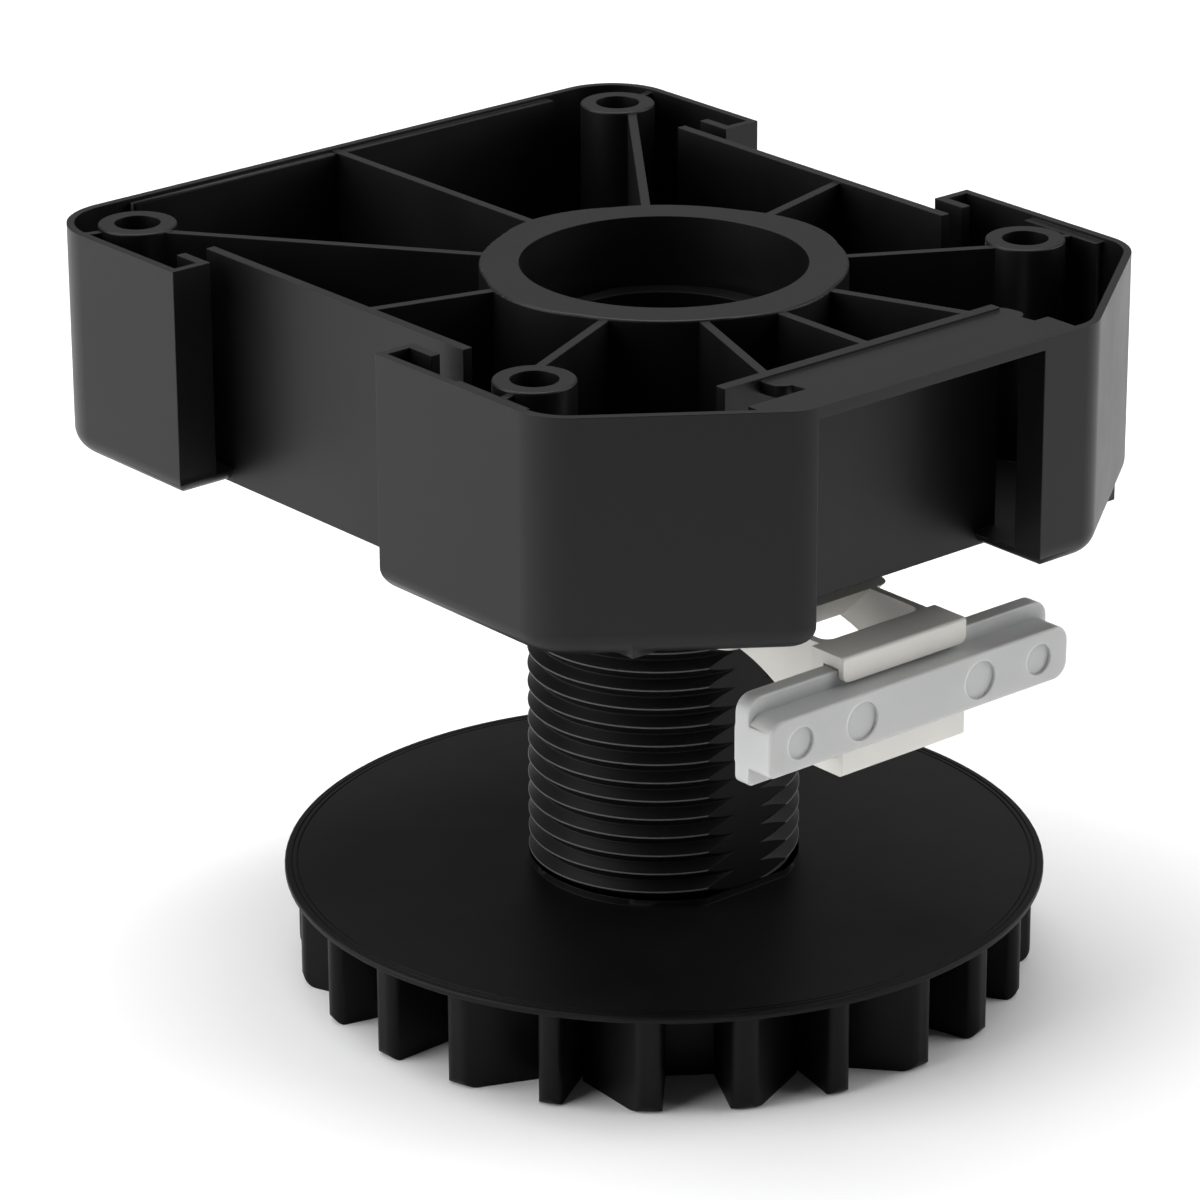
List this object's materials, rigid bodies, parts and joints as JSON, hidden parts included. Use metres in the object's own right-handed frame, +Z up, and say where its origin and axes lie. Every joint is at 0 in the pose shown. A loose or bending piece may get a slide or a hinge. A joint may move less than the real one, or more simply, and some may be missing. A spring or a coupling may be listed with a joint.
{
  "type": "adjustable cabinet leg",
  "caption": "Screw-height cabinet leg: toothed round foot on a threaded tube, ribbed mounting plate, clip and bar that hold a plinth board.",
  "frame": {"origin": "on the floor under the leg's axis", "axes": "+Z up along the leg's axis, -Y towards the plinth board"},
  "size_m": [0.1, 0.1196, 0.0961],
  "materials": {
    "foot_plastic": "black moulded plastic with a soft sheen",
    "plate_plastic": "black moulded plastic with a soft sheen",
    "clip_plastic": "white moulded plastic",
    "bar_plastic": "milky natural plastic, slightly see-through"
  },
  "bodies": {
    "foot": {"threaded_foot": "foot_plastic"},
    "clip": {"plinth_clip": "clip_plastic"},
    "plate": {"mounting_plate": "plate_plastic"},
    "bar": {"plinth_bar": "bar_plastic"}
  },
  "joints": [
    {"name": "leg_turn", "type": "hinge", "parent": "foot", "child": "clip", "pos_m": [0, 0, 0.05], "axis": [0, 0, 1], "range_deg": [-928, 2123]},
    {"name": "leg_height", "type": "slide", "parent": "clip", "child": "plate", "axis": [0, 0, 1], "range_m": [-0.0066, 0.0151]},
    {"name": "bar_slide", "type": "slide", "parent": "clip", "child": "bar", "axis": [1, 0, 0], "range_m": [-0.014, 0.014]}
  ],
  "couplings": [
    {"joint": "leg_height", "follows": "leg_turn", "m_per_rad": 0.00040744}
  ]
}
